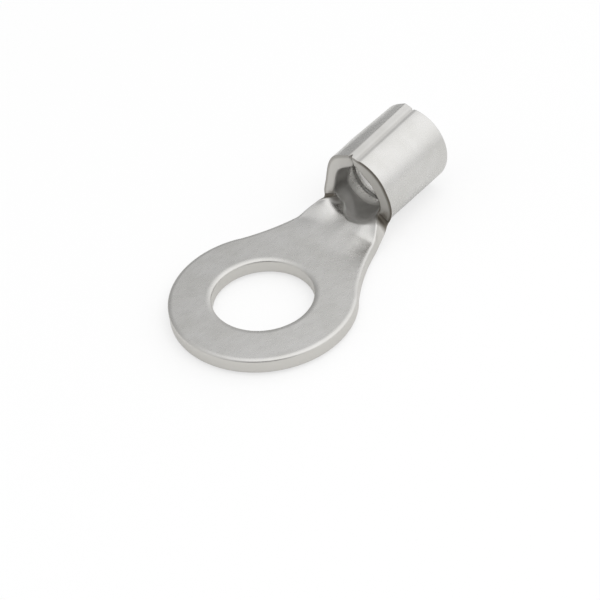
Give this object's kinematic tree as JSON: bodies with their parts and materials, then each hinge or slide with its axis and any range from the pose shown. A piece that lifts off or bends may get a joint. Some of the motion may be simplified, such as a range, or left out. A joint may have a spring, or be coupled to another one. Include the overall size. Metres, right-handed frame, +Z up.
{
  "type": "ring terminal",
  "caption": "Bare crimp ring terminal: a flat eye for a stud, a tapered neck and a rolled wire barrel with a brazed seam, in tinned copper.",
  "frame": {"origin": "centre of the stud hole, on the underside of the flat tongue", "axes": "+X runs along the neck from the stud hole towards the wire barrel, +Z is up through the stud hole towards the side that the barrel rises on, +Y is to the left"},
  "size_m": [0.0225, 0.012, 0.0058],
  "materials": {
    "tinned_copper": "satin electroplated tin"
  },
  "bodies": {
    "root": {"ring_terminal": "tinned_copper"}
  },
  "joints": []
}
